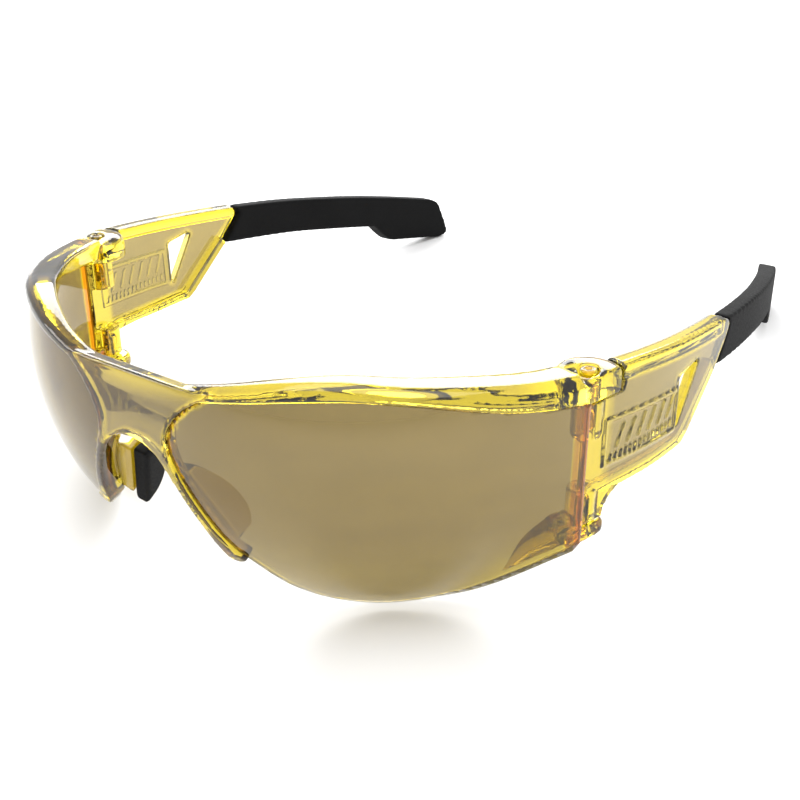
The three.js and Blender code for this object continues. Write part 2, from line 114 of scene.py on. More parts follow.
def wrap_at(x, z, rho):
    """Point at depth rho outside the lens front, under the front-view place (x, z)."""
    up = (z - WRAP_Z) / WRAP_V
    r = WRAP_R - WRAP_V + WRAP_V * math.sqrt(1 - up * up)
    reach = max(abs(x) - EYE, 0)
    low, high = 0, min(reach, r - 0.01)
    for _ in range(24):
        side = (low + high) / 2
        ahead = math.sqrt(r * r - side * side)
        if side + flare(r, WRAP_Y - ahead) < reach:
            low = side
        else:
            high = side
    sin_t, cos_t = side / r, ahead / r
    cos_p = math.sqrt(1 - up * up)
    normal = Vector((math.copysign(sin_t, x) * cos_p, -cos_t * cos_p, up))
    return Vector((x, WRAP_Y - ahead, z)) + normal * rho


def wrap_along(s, z, rho):
    """Point at arc length s from the centre, height z, rho outside the lens front, level with z."""
    up = (z - WRAP_Z) / WRAP_V
    r = WRAP_R - WRAP_V + WRAP_V * math.sqrt(1 - up * up) + rho
    t = max(abs(s) - EYE, 0) / WRAP_R
    x = min(abs(s), EYE) + r * math.sin(t)
    return Vector((math.copysign(x, s), WRAP_Y - r * math.cos(t), z))


def outer_x(y):
    """The outer face of the temple at y."""
    r = FORE_R if y < WIDE_Y else AFT_R
    return HALF_WIDTH - (r - math.sqrt(r * r - (y - WIDE_Y) ** 2))


LENS_END_X = EYE + math.sqrt(WRAP_R ** 2 - (WRAP_Y - EDGE_Y) ** 2)


bar_low = height_line([(0, -0.6), (9, 0.3), (17, 1.6), (26, 3.1), (35, 4.4), (43, 4.8), (52, 3.7), (61, 1.3),
                       (67, 0), (75, -0.6)])
bar_top = height_line([(0, 2.3), (10, 3), (20, 4.9), (30, 6.8), (40, 7.7), (49, 7), (58, 6.2), (67, 5),
                       (75, 4.6)])
NASAL_POINTS = [(18.3, 2.6), (13.4, -0.5), (10, -4.4), (8.9, -8.3), (10.1, -12.6), (14.4, -21.3),
                (16.5, -25.8), (19.2, -30.2)]
BRIDGE_LINE = [(0, -9.2), (3.4, -9.6), (6.5, -11.6), (9, -15), (11.4, -19.6), (13.6, -24.4), (15.2, -29)]
nasal_line = spline(NASAL_POINTS, 40)
rim_line = spline([(20.4, -31), (22.3, -33.4), (25.2, -37.4), (29.7, -40.6), (36.3, -42.2), (43, -41.5),
                   (50.2, -39.2), (55.3, -36.5), (60.1, -33.4), (64.4, -30.6), (LENS_END_X, -29)], 48)


# ---- mesh tools ----
def sweep(rings):
    """A skin drawn through closed rings of points, by extruding each ring into the next."""
    bm = bmesh.new()
    tag = bm.verts.layers.int.new("ring")
    verts = [bm.verts.new(p) for p in rings[0]]
    for i, v in enumerate(verts):
        v[tag] = i
    edges = [bm.edges.new((verts[i - 1], verts[i])) for i in range(len(verts))]
    first = list(edges)
    for ring in rings[1:]:
        new = bmesh.ops.extrude_edge_only(bm, edges=edges)["geom"]
        for v in new:
            if isinstance(v, bmesh.types.BMVert):
                v.co = ring[v[tag]]
        edges = [e for e in new if isinstance(e, bmesh.types.BMEdge)
                 and all(v in new for v in e.verts)]
    bmesh.ops.edgeloop_fill(bm, edges=first)
    bmesh.ops.edgeloop_fill(bm, edges=edges)
    bmesh.ops.recalc_face_normals(bm, faces=bm.faces)
    return bm


def plate(outlines, cuts, bend, rim=0):
    """A flat outline (with holes) cut into cells and bent into a shell: bend(u, v, side) places a point."""
    bm = bmesh.new()
    for line in outlines:
        verts = [bm.verts.new((p[0], p[1], 0)) for p in line]
        for i in range(len(verts)):
            bm.edges.new((verts[i - 1], verts[i]))
    bmesh.ops.triangle_fill(bm, edges=bm.edges, use_beauty=True)
    bmesh.ops.dissolve_limit(bm, angle_limit=0.01, verts=bm.verts, edges=bm.edges)
    if rim:
        bmesh.ops.inset_region(bm, faces=bm.faces[:], thickness=rim, use_even_offset=True)
    for axis, places in enumerate(cuts):
        normal = (1, 0, 0) if axis == 0 else (0, 1, 0)
        for c in places:
            bmesh.ops.bisect_plane(bm, geom=bm.verts[:] + bm.edges[:] + bm.faces[:], dist=1e-5,
                                   plane_co=(c, c, 0), plane_no=normal)
    far = bm.verts.layers.int.new("far")
    new = bmesh.ops.extrude_face_region(bm, geom=bm.faces[:])["geom"]
    for v in new:
        if isinstance(v, bmesh.types.BMVert):
            v[far] = 1
    for v in bm.verts:
        v.co = bend(v.co.x, v.co.y, v[far])
    bmesh.ops.recalc_face_normals(bm, faces=bm.faces)
    return bm


def spin_round(profile):
    """A closed (radius, z) profile turned about the upright axis through the hinge."""
    bm = bmesh.new()
    verts = [bm.verts.new((HINGE_X + r, HINGE_Y, z)) for r, z in profile]
    edges = [bm.edges.new((verts[i - 1], verts[i])) for i in range(len(verts))]
    bmesh.ops.spin(bm, geom=verts + edges, cent=(HINGE_X, HINGE_Y, 0), axis=(0, 0, 1), angle=math.tau,
                   steps=ROUND_STEPS, use_merge=True, use_duplicate=False)
    bmesh.ops.remove_doubles(bm, verts=bm.verts, dist=1e-4)
    bmesh.ops.recalc_face_normals(bm, faces=bm.faces)
    return bm


def spaced(a, b, step):
    """Evenly spread numbers from a to b; the step is negative where they fall."""
    n = max(int(round((b - a) / step)), 1)
    return [a + (b - a) * i / n for i in range(n + 1)]


def to_mesh(name, parts):
    """One mesh out of several bmeshes."""
    whole = bmesh.new()
    for bm in parts:
        temp = bpy.data.meshes.new("temp")
        bm.to_mesh(temp)
        whole.from_mesh(temp)
        bpy.data.meshes.remove(temp)
        bm.free()
    mesh = bpy.data.meshes.new(name)
    whole.to_mesh(mesh)
    whole.free()
    return mesh


def fused(name, parts, cell, passes):
    """Closed pieces melted into one moulded body, with the edges eased."""
    mesh = to_mesh(name, parts)
    obj = bpy.data.objects.new(name, mesh)
    bpy.context.scene.collection.objects.link(obj)
    melt = obj.modifiers.new("melt", "REMESH")
    melt.mode = "VOXEL"
    melt.voxel_size = cell
    depsgraph = bpy.context.evaluated_depsgraph_get()
    depsgraph.update()
    out = bpy.data.meshes.new_from_object(obj.evaluated_get(depsgraph))
    bpy.data.objects.remove(obj)
    bm = bmesh.new()
    bm.from_mesh(out)
    for _ in range(passes):
        bmesh.ops.smooth_vert(bm, verts=bm.verts, factor=0.5, use_axis_x=True, use_axis_y=True,
                              use_axis_z=True)
    bpy.data.meshes.remove(out)
    return bm


def flipped(bm):
    """The mirror twin across X = 0."""
    twin = bm.copy()
    bmesh.ops.scale(twin, vec=(-1, 1, 1), verts=twin.verts)
    bmesh.ops.reverse_faces(twin, faces=twin.faces)
    return twin


def placed(name, bm, material, body, replaced, mark=None):
    """Puts a finished piece in the row frame and says what it stands for."""
    if mark:
        layer = bm.verts.layers.float.new("thick_and_glow")
        for v in bm.verts:
            v[layer] = mark(v.co)
    bmesh.ops.transform(bm, matrix=PLACE, verts=bm.verts)
    for f in bm.faces:
        f.smooth = True
    mesh = bpy.data.meshes.new(name)
    bm.to_mesh(mesh)
    bm.free()
    mesh.materials.append(material)
    obj = bpy.data.objects.new(name, mesh)
    bpy.context.scene.collection.objects.link(obj)
    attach(obj, body)
    if replaced:
        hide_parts(*replaced)
    return obj


def both_sides(name, bm, material, body, node, mark=None):
    """The right-hand piece and its mirror twin; body and node hold {} for the side."""
    twin = flipped(bm)
    for side, half in (("right", bm), ("left", twin)):
        placed(name.format(side), half, material, body.format(side),
               [node.format(side)] if node else None, mark)


# ---- materials ----
CLEAR_PLASTIC_IOR = 1.58
LENS_TINT, WALL_TINT = (0.235, 0.17, 0.052), (0.27, 0.2, 0.062)
# The edge tint is a painted glow: orange put into the base colour of lens edges, as if light were piped
# along them.
THICK_TINT, EDGE_GLOW_TINT = (0.78, 0.6, 0.022), (0.72, 0.27, 0.01)
# The fin is painted lit: its outer face gets a brighter tint than its root, plus a glow, though it is no
# lamp.
FIN_ROOT_TINT, FIN_LIT_FACE_TINT = (0.3, 0.21, 0.03), (0.8, 0.62, 0.01)
FIN_PAINTED_GLOW, FIN_PAINTED_GLOW_STRENGTH = (1, 0.82, 0.0), 0.6
RUBBER_BLACK, RUBBER_SHEEN = (0.006, 0.006, 0.0062), 0.08
FLOW_SCALE, SMEAR_SCALE, RIPPLE_SCALE = 90, 220, 130   # how fine the plastic's small unevenness is
TONE_SCALE, GRAIN_SCALE = 60, 2600                     # and the rubber's


def node_tree(name):
    mat = bpy.data.materials.new(name)
    mat.use_nodes = True
    nodes, links = mat.node_tree.nodes, mat.node_tree.links
    nodes.clear()
    out = nodes.new("ShaderNodeOutputMaterial")
    shader = nodes.new("ShaderNodeBsdfPrincipled")
    links.new(shader.outputs[0], out.inputs[0])
    return mat, nodes, links, shader


def noise(nodes, links, scale, detail, stretch=None):
    """Noise in the object's own metres, drawn out along an axis where stretch says so."""
    where = nodes.new("ShaderNodeTexCoord")
    source = where.outputs["Object"]
    if stretch:
        mapping = nodes.new("ShaderNodeMapping")
        mapping.inputs["Scale"].default_value = stretch
        links.new(source, mapping.inputs["Vector"])
        source = mapping.outputs[0]
    tex = nodes.new("ShaderNodeTexNoise")
    tex.inputs["Scale"].default_value = scale
    tex.inputs["Detail"].default_value = detail
    links.new(source, tex.inputs["Vector"])
    return tex.outputs["Fac"]


def ramp(nodes, links, source, low, high, at=(0.0, 1.0)):
    node = nodes.new("ShaderNodeValToRGB")
    node.color_ramp.elements[0].position, node.color_ramp.elements[1].position = at
    node.color_ramp.elements[0].color = (*low, 1)
    node.color_ramp.elements[1].color = (*high, 1)
    links.new(source, node.inputs[0])
    return node.outputs[0]


def clear_plastic(name, thin, thick_and_glow, rough, clarity):
    """Tinted clear plastic; the vertex mark is 0 on thin walls, 1 on thick ones and 2 on edges, where an
    orange glow is painted into the base colour.
    """
    mat, nodes, links, shader = node_tree(name)
    flow = noise(nodes, links, FLOW_SCALE, 2, (1, 1, 3))
    thin_tint = ramp(nodes, links, flow, [c * 0.95 for c in thin], [min(c * 1.05, 1) for c in thin],
                     (0.3, 0.7))
    mark = nodes.new("ShaderNodeAttribute")
    mark.attribute_name = "thick_and_glow"
    mix = nodes.new("ShaderNodeMix")
    mix.data_type = "RGBA"
    links.new(mark.outputs["Fac"], mix.inputs["Factor"])
    links.new(thin_tint, mix.inputs["A"])
    mix.inputs["B"].default_value = (*thick_and_glow, 1)
    # Above 1 the mark blends in the painted orange edge glow.
    lit = nodes.new("ShaderNodeMath")
    lit.operation = "SUBTRACT"
    lit.inputs[1].default_value = 1.0
    links.new(mark.outputs["Fac"], lit.inputs[0])
    glow = nodes.new("ShaderNodeMix")
    glow.data_type = "RGBA"
    links.new(lit.outputs[0], glow.inputs["Factor"])
    links.new(mix.outputs["Result"], glow.inputs["A"])
    glow.inputs["B"].default_value = (*EDGE_GLOW_TINT, 1)
    links.new(glow.outputs["Result"], shader.inputs["Base Color"])
    smear = noise(nodes, links, SMEAR_SCALE, 4)
    links.new(ramp(nodes, links, smear, (rough * 0.7,) * 3, (rough * 1.5,) * 3, (0.35, 0.75)),
              shader.inputs["Roughness"])
    bump = nodes.new("ShaderNodeBump")
    bump.inputs["Strength"].default_value = 0.05
    bump.inputs["Distance"].default_value = 0.0002
    links.new(noise(nodes, links, RIPPLE_SCALE, 1), bump.inputs["Height"])
    links.new(bump.outputs[0], shader.inputs["Normal"])
    shader.inputs["Transmission Weight"].default_value = clarity
    shader.inputs["IOR"].default_value = CLEAR_PLASTIC_IOR
    return mat


def soft_rubber(name, colour):
    """Matt moulded rubber with a fine grain."""
    mat, nodes, links, shader = node_tree(name)
    tone = noise(nodes, links, TONE_SCALE, 4)
    links.new(ramp(nodes, links, tone, [c * 0.8 for c in colour], [c * 1.25 for c in colour], (0.3, 0.7)),
              shader.inputs["Base Color"])
    grain = noise(nodes, links, GRAIN_SCALE, 2)
    links.new(ramp(nodes, links, grain, (0.6,) * 3, (0.75,) * 3, (0.3, 0.7)), shader.inputs["Roughness"])
    bump = nodes.new("ShaderNodeBump")
    bump.inputs["Strength"].default_value = 0.25
    bump.inputs["Distance"].default_value = 0.0001
    links.new(grain, bump.inputs["Height"])
    links.new(bump.outputs[0], shader.inputs["Normal"])
    shader.inputs["Specular IOR Level"].default_value = RUBBER_SHEEN
    return mat


lens_plastic = clear_plastic("lens_plastic", LENS_TINT, THICK_TINT, 0.02, 0.9)
frame_plastic = clear_plastic("frame_plastic", WALL_TINT, THICK_TINT, 0.04, 1.0)
fin_plastic = clear_plastic("fin_plastic", FIN_ROOT_TINT, FIN_LIT_FACE_TINT, 0.15, 0.6)
black_rubber = soft_rubber("black_rubber", RUBBER_BLACK)


def paint_fin_glow():
    """A painted glow (emission) on the fin's outer face, led by the vertex mark, as if the fin gathered
    light from its edges.
    """
    nodes, links = fin_plastic.node_tree.nodes, fin_plastic.node_tree.links
    shader = nodes["Principled BSDF"]
    mark = nodes.new("ShaderNodeAttribute")
    mark.attribute_name = "thick_and_glow"
    links.new(ramp(nodes, links, mark.outputs["Fac"], (0, 0, 0), FIN_PAINTED_GLOW), shader.inputs["Emission Color"])
    shader.inputs["Emission Strength"].default_value = FIN_PAINTED_GLOW_STRENGTH


paint_fin_glow()


# ---- lens ----
PANE_IN_BAR, PANE_IN_NOSE, PANE_RIM = 0.35, 0.15, 0.5
ORANGE_FROM, ORANGE_FULL = EDGE_Y - 1.8, EDGE_Y - 1.3
WEB_NOSEWARD, WEB_THICK_X = 57.5, 63        # where the lower corner starts to thicken and where it is full
WEB_T, WEB_EXTRA = 0.5, 2.8


def lens_outline():
    edge = [Vector((LENS_END_X, z)) for z in spaced(-28.0, -0.2, 1.5)]
    top = [Vector((x, bar_low(x) + PANE_IN_BAR)) for x in spaced(66.2, 18.8, -1.6)]
    nose = [Vector((p.x - PANE_IN_NOSE, p.y)) for p in nasal_line[1:]]
    return rim_line[:-1] + edge + top + nose


def lens():
    """The pane, cut finer beside its upright edge, where the wrap runs almost straight back."""
    columns = [EYE + WRAP_R * math.sin(math.radians(a)) for a in range(0, 70)]
    columns += [LENS_END_X - d for d in (0.12, 0.24, 0.36, 0.5, 0.7, 0.9)]
    return plate([lens_outline()], (columns, spaced(-41, 5, 1)),
                 lambda x, z, far: wrap_at(x, z, -LENS_T * far), rim=PANE_RIM)


def near_outline(points, width):
    """1 on an outline seen from the front, falling to 0 a width away."""
    def mark(co):
        p = Vector((abs(co.x), co.z))
        d = min((p - q).length for q in points)
        return 1 - smoothstep(d, width * 0.4, width)
    return mark


def pane_mark(co):
    """Yellow along the open rim, a painted orange glow along the nose and hinge edges, lighter toward the
    lower outer corner, and lighter low down as painted light.
    """
    rim = RIM_NEAR(co)
    nose = NOSE_NEAR(co)
    hinge = smoothstep(co.y, ORANGE_FROM, ORANGE_FULL)
    # The second term lightens the lower part of the pane: painted light against the shade below.
    corner = 0.3 * smoothstep(abs(co.x) - co.z, 84, 94) + 0.08 * smoothstep(-co.z, 18, 36)
    # The factor 2 selects the painted orange edge glow on the nose and hinge edges.
    return max(rim, 2 * nose, 2 * hinge, corner)


RIM_NEAR, NOSE_NEAR = near_outline(rim_line, 0.9), near_outline(nasal_line, 0.7)
both_sides("lens_pane_{}", lens(), lens_plastic, "front", "lens_{}", pane_mark)


def corner_block():
    """The thick lower corner of the lens, with the boss under the hinge."""
    low = [p + Vector((0, 0.4)) for p in rim_line if p.x > WEB_NOSEWARD]
    outline = low + [Vector(p) for p in ((LENS_END_X - 0.1, -23.8), (66, -24), (63.6, -27), (60.6, -30.6))]
    inner = -LENS_T + 0.1

    def bend(x, z, far):
        return wrap_at(x, z, inner - far * (WEB_T + WEB_EXTRA * smoothstep(x, WEB_NOSEWARD, WEB_THICK_X)))
    web = plate([outline], (spaced(57, 67, 1), spaced(-36, -24, 1.5)), bend)
    ring = [(1.9, BOSS_BOTTOM), (4.1, BOSS_BOTTOM), (4.8, BOSS_BOTTOM + 0.35), (BOSS_R, BOSS_BOTTOM + 1.0),
            (BOSS_R, BARREL_BOTTOM - 1.2), (BOSS_R - 0.6, BARREL_BOTTOM - 0.6), (1.4, BARREL_BOTTOM - 0.6),
            (1.4, BOSS_BOTTOM + 1.6), (1.9, BOSS_BOTTOM + 1.6)]
    boss = spin_round(ring)
    for v in boss.verts:
        v.co.x = min(v.co.x, outer_x(v.co.y))
    return fused("corner", [web, boss], FRAME_CELL, 5)


both_sides("lens_corner_{}", corner_block(), frame_plastic, "front", "lens_{}",
           lambda co: 0.9)


# ---- front frame ----
BAR_DEPTH, BAR_DEEPER = 3.4, 4              # depth of the brow bar at the bridge, and what it gains outward
DOME_PROUD, DOME_SLOPE, DOME_ROUND = 0.4, 0.24, 1.8


def brow_bar():
    """The bar as a loft of one rounded section along the wrap, from hinge to hinge."""
    rings = []
    reach = EYE + WRAP_R * math.asin((HINGE_X - EYE) / (WRAP_R - 2.5))
    for s in spaced(-reach, reach, 1.6):
        x = abs(wrap_along(s, 0, 0).x)
        low, top = bar_low(x) + 1.0, bar_top(x)
        back = FRAME_PROUD - BAR_DEPTH - BAR_DEEPER * smoothstep(x, 12, 60)
        profile = [(FRAME_PROUD, low), (FRAME_PROUD, (low + top) / 2), (0.3, top - 0.6), (-0.7, top),
                   (back + 0.9, top), (back + 0.2, top - 0.5), (back, top - 1.4), (back, low - 0.4),
                   (back + 0.7, low - 1.1), (FRAME_PROUD - 1, low - 1.1), (FRAME_PROUD, low - 0.6)]
        rings.append([wrap_along(s, z, rho) for rho, z in profile])
    return sweep(rings)


def bridge_and_arms():
    outer = spline(BRIDGE_LINE, 24)
    foot = spline([(15.2, -29), (16.4, -31.2), (18.4, -31.6), (20.2, -30.6), (19.4, -29.6)], 12)
    half = outer[:-1] + foot + nasal_line[::-1][1:] + [Vector((18.3, 3.4))]
    left = [Vector((-p.x, p.y)) for p in reversed(half[1:])]

    def bend(x, z, far):
        return wrap_at(x, z, FRAME_PROUD - far * (FRAME_DEPTH - 0.9 * smoothstep(z, -7, 0)))
    return plate([half + left], (spaced(-20, 20, 2), spaced(-31, 3, 2)), bend)


def dome():
    """The hinge dome, with the counterbore that shows the pin's head, sloping down to the front."""
    low, top = BARREL_TOP + 0.3, DOME_TOP
    arc = [(DOME_R - DOME_ROUND + DOME_ROUND * math.cos(a), top - DOME_ROUND + DOME_ROUND * math.sin(a))
           for a in (0, 0.4, 0.8, 1.2, math.pi / 2)]
    bm = spin_round([(1.4, low), (DOME_R, low)] + arc + [(1.85, top), (1.85, top - 1.7), (1.4, top - 1.7)])
    for v in bm.verts:
        v.co.x = min(v.co.x, outer_x(v.co.y) + DOME_PROUD)
        v.co.z -= DOME_SLOPE * max(HINGE_Y + 1.5 - v.co.y, 0) * smoothstep(v.co.z, 1, 3.5)
    return bm


LIP_NEAR = near_outline(nasal_line + spline(BRIDGE_LINE, 40), 1.2)


def frame_mark(co):
    """Thick and yellow in the bar, the hinge ends, the arms and along the lips of the bridge."""
    x, z = abs(co.x), co.z
    bar = smoothstep(z, bar_low(x) - 0.6, bar_low(x) + 1.4) * (0.4 + 0.6 * smoothstep(x, 10, 26))
    arm = 0.55 * smoothstep(-z, 12, 22)
    lip = 0.8 * LIP_NEAR(co)
    end = smoothstep(x, 56, 61)
    return max(bar, arm, lip, end, 0.04)


right_dome = dome()
left_dome = flipped(right_dome)
front_parts = [brow_bar(), bridge_and_arms(), right_dome, left_dome]
placed("front_frame_body", fused("frame", front_parts, FRAME_CELL, 6), frame_plastic, "front",
       ["front_frame"], frame_mark)


# ---- temples ----
WALL_T, FLANGE_DEPTH, RAIL_Y = 2.2, 4.2, 45.4
RAIL_FRONT_Y, RAIL_FRONT_Z, RAIL_FALL = 43.7, 4.6, 0.094
DOME_CLEAR = 6.85                           # the rail's front end follows the dome at this radius
BADGE_PROUD, BADGE_DEPTH, BADGE_LINE = 0.4, 1.2, 0.8
RIDGES, RIDGE_STEP, RIBS, RIB_STEP = 6, 3.3, 14, 1.5
# (y, z) places on the temple's side
LOWER_RUN = [Vector(p) for p in ((38.6, -20.5), (46, -20.2), (58, -20.6), (68.5, -20.4), (70.8, -19),
                                 (83, -8.7))]
WINDOW = [Vector(p) for p in ((64.6, -15.4), (65.4, -15.2), (72.4, -4.2), (71.9, -3.5), (64.9, -4.7),
                              (64.4, -5.3))]


def rail_top(y):
    return RAIL_FRONT_Z - RAIL_FALL * (y - RAIL_FRONT_Y)


def wall_plate(outlines, depth, step=1.5):
    """A plate that follows the temple's outer face, this deep."""
    return plate(outlines, (spaced(40, 98, step), spaced(-20, 0, 4)),
                 lambda y, z, far: Vector((outer_x(y) - (depth if far else 0), y, z)))


def temple_rail():
    """The thick top rail as a loft, hollowed at its front end to go round the dome."""
    section = ((0, 2.8), (0, 1.0), (0.4, 0.3), (1.2, 0), (3.2, 0), (4.1, 0.3), (4.6, 1.1), (4.6, 2.2),
               (3.9, 3.2), (1.5, 3.4))
    rings = []
    for y in spaced(RAIL_Y, 86.2, 1.2):
        curl = 1 - smoothstep(y, RAIL_Y, 50)
        ring = []
        for t, drop in section:
            x = outer_x(y) - t
            arc = HINGE_Y + math.sqrt(max(DOME_CLEAR ** 2 - (x - HINGE_X) ** 2, 0)) - RAIL_Y
            ring.append(Vector((x, y + arc * curl, rail_top(y) - drop)))
        rings.append(ring)
    return sweep(rings)


def badge():
    """Raised border on the outside of the temple, with plain slanted ridges and a row of short ribs."""
    def corner_points(d):
        return [Vector(p) for p in ((40 + d, -14.6 + d), (64 - d, -15.8 + d), (63.8 - d, -6.4 - d),
                                    (39.8 + d, -5 - d))]
    shapes = [[corner_points(0), corner_points(BADGE_LINE)]]
    for i in range(RIDGES):
        y = 43.4 + RIDGE_STEP * i
        ridge = ((y, -11.6), (y + 0.8, -11.6), (y + 2.6, -7.4), (y + 1.8, -7.4))
        shapes.append([[Vector(p) for p in ridge]])
    for i in range(RIBS):
        y = 42 + RIB_STEP * i
        rib = ((y, -14), (y + 0.6, -14), (y + 0.6, -12.7), (y, -12.7))
        shapes.append([[Vector(p) for p in rib]])

    def bend(y, z, far):
        return Vector((outer_x(y) + (BADGE_PROUD - BADGE_DEPTH * far), y, z))
    return [plate(lines, (spaced(40, 64, 2), []), bend) for lines in shapes]


def temple():
    """The stiff part of the temple: wall with its window, flange, rail, squared front, knuckles, badge."""
    seam = spline([(83, -8.7), (88.4, -2.6), (87.8, -0.4), (86, rail_top(86) - 0.4)], 12)
    top = [Vector((y, rail_top(y) - 0.6)) for y in (86, 75, 60, 50, 46)]
    outline = LOWER_RUN[:-1] + seam + top + [Vector((45, 0)), Vector((44.6, -0.95)), Vector((38.6, -0.95))]
    wall = wall_plate([outline, WINDOW], WALL_T)
    inside = [Vector((p.x - (1.6 if i > 3 else 0.8 if i == 3 else 0), p.y + 1.8))
              for i, p in enumerate(LOWER_RUN)]
    flange = wall_plate([LOWER_RUN + inside[::-1]], FLANGE_DEPTH)
    front_y = HINGE_Y - BARREL_R
    fore = [Vector(p) for p in ((front_y, BARREL_BOTTOM), (41.3, BARREL_BOTTOM), (41.9, -23.2),
                                (43.5, -21.4), (46, -20.1), (46, BARREL_TOP), (front_y, BARREL_TOP))]
    front = wall_plate([fore], WALL_T, 1.0)
    knuckles = [spin_round([(1.25, low), (BARREL_R - 0.3, low), (BARREL_R, low + 0.3),
                            (BARREL_R, high - 0.3), (BARREL_R - 0.3, high), (1.25, high)])
                for low, high in KNUCKLES]
    return fused("temple", [wall, front, temple_rail(), flange] + knuckles + badge(), TEMPLE_CELL, 5)


def temple_mark(co):
    """Thick and yellow in the rail, the flange, the seam with the tip, the barrel and the badge's lines."""
    y, z = co.y, co.z
    rail = smoothstep(z, rail_top(y) - 3.9, rail_top(y) - 3.2)
    low = LOWER_RUN[0].y if y < 69 else LOWER_RUN[-1].y - (83 - y) * 0.85
    flange = 1 - smoothstep(z, low + 1.8, low + 2.4)
    root = smoothstep(-z, 18, 20) * (1 - smoothstep(y, 41, 44))
    hole = 0.4 - 0.4 * smoothstep(min((Vector((y, z)) - p).length for p in window_line), 0.6, 1.4)
    end = smoothstep(y + 0.5 * z, 83.5, 84.6)
    raised = 0.5 * smoothstep(abs(co.x) - outer_x(y), 0.1, 0.35)
    knuckle = 0.7 - 0.7 * smoothstep(y, 41.2, 43)
    return max(rail, flange, 0.6 * root, hole, 0.6 * end, raised, knuckle, 0.05)


window_line = [a.lerp(b, k / 6) for a, b in zip(WINDOW, WINDOW[1:] + WINDOW[:1]) for k in range(6)]
both_sides("temple_arm_{}", temple(), frame_plastic, "{}_temple", "temple_{}",
           temple_mark)


# ---- soft tips ----
TIP_T, TIP_THICKENS = 3.7, 0.9              # thickness at the seam, and what it gains toward the end


def tip():
    """The soft tip, from the slanted seam to the dropped end; the (y, z) places are on its side."""
    top = spline([(89, -0.05), (107, -2.1), (128, -5.2), (143, -7.8), (158.5, -10.9)], 20)
    end = spline([(158.5, -10.9), (160.8, -12.2), (162, -14.6), (164.3, -21), (163.6, -23),
                  (161.2, -23.5)], 14)
    under = spline([(143.4, -21.1), (141, -19), (138.6, -16.6), (135.6, -15.6), (112, -12.1), (96, -10.3),
                    (83.5, -9.05)], 30)
    seam = spline([(83.5, -9.05), (88.8, -2.6), (88.2, -0.4)], 8)[1:]
    outline = top[:-1] + end + [Vector((145, -21.5))] + under + seam

    def bend(y, z, far):
        return Vector((outer_x(y) - far * (TIP_T + TIP_THICKENS * smoothstep(y, 95, 150)), y, z))
    body = plate([outline], (spaced(84, 164, 1.6), spaced(-22, 0, 4)), bend)
    return fused("tip", [body], TIP_CELL, 8)


both_sides("tip_sleeve_{}", tip(), black_rubber, "{}_temple", "temple_tip_{}")


# ---- nose pads ----
PAD_LENGTH, PAD_W, PAD_T, PAD_SOFT, FIT, FIN_T = 18.5, 6.4, 3.4, 0.7, 0.3, 1.5
PAD_CORNER = Vector((6.4, -4, -15.4))
PAD_LINE = [(0, 0), (0.5, 0.08), (0.95, 0.42), (1, 0.76), (0.6, 0.97), (0, 1)]
PAD_DOWN = Vector((0.42, 0.3, -0.87)).normalized()
PAD_BACK = (Vector((0.3, 0.95, 0)) - 0.41 * PAD_DOWN).normalized()
PAD_OUT = PAD_DOWN.cross(PAD_BACK)


def pad_point(back, down, out):
    """A point by its distance back from the pad's straight edge, down along it and out of its outer face."""
    return PAD_CORNER + PAD_BACK * back + PAD_DOWN * down + PAD_OUT * out


def nose_pad():
    """The cushion: one D-shaped outline drawn through its thickness with eased edges."""
    line = spline(PAD_LINE, 22) + [Vector((0, 0.75)), Vector((0, 0.5)), Vector((0, 0.25))]
    line = [Vector((p.x * PAD_W, p.y * PAD_LENGTH)) for p in line]
    middle = sum(line, Vector((0, 0))) / len(line)
    rings = []
    for depth, size in ((0, 0.8), (0.25, 0.93), (PAD_SOFT, 1), (PAD_T - PAD_SOFT, 1), (PAD_T - 0.25, 0.93),
                        (PAD_T, 0.8)):
        ring = [middle + (p - middle) * size for p in line]
        rings.append([pad_point(p.x, p.y, -depth) for p in ring])
    return fused("pad", [sweep(rings)], PAD_CELL, 8)


both_sides("nose_cushion_{}", nose_pad(), black_rubber, "front", "nose_pad_{}")


def nose_fin():
    """The fin behind the nose arm that the cushion is keyed to."""
    belly = height_line([(v, u * PAD_W) for u, v in PAD_LINE])
    arm_in = height_line([(-z, x) for x, z in BRIDGE_LINE])
    arm_out = height_line([(-z, x) for x, z in NASAL_POINTS[3:]])
    rings = []
    for i in range(19):
        v = 0.08 + 0.84 * i / 18
        down, reach = PAD_LENGTH * v, belly(v) - 0.3
        z = pad_point(0, down, 2).z
        middle = (arm_in(-z) + arm_out(-z)) / 2
        sunk = FRAME_PROUD - FRAME_DEPTH + 0.2
        rings.append([pad_point(0.1, down, FIT), pad_point(reach, down, FIT),
                      pad_point(reach, down, FIT + FIN_T), pad_point(FIN_T, down, FIT + FIN_T),
                      wrap_at(middle + 0.8, z, sunk), wrap_at(middle - 0.8, z, sunk)])
    return fused("fin", [sweep(rings)], PAD_CELL, 4)


def fin_glow_mark_at(co):
    """1 on the outer face of the fin, where it is painted lit: a brighter tint and a glow, as if it picked
    up light along its edges.
    """
    p = Vector((abs(co.x), co.y, co.z)) - pad_point(0, 0, 0)
    return smoothstep(p.dot(PAD_OUT), FIT + 0.7, FIT + 1.2) * smoothstep(p.dot(PAD_BACK), 0.6, 1.4)


both_sides("nose_fin_{}", nose_fin(), fin_plastic, "front", None, fin_glow_mark_at)


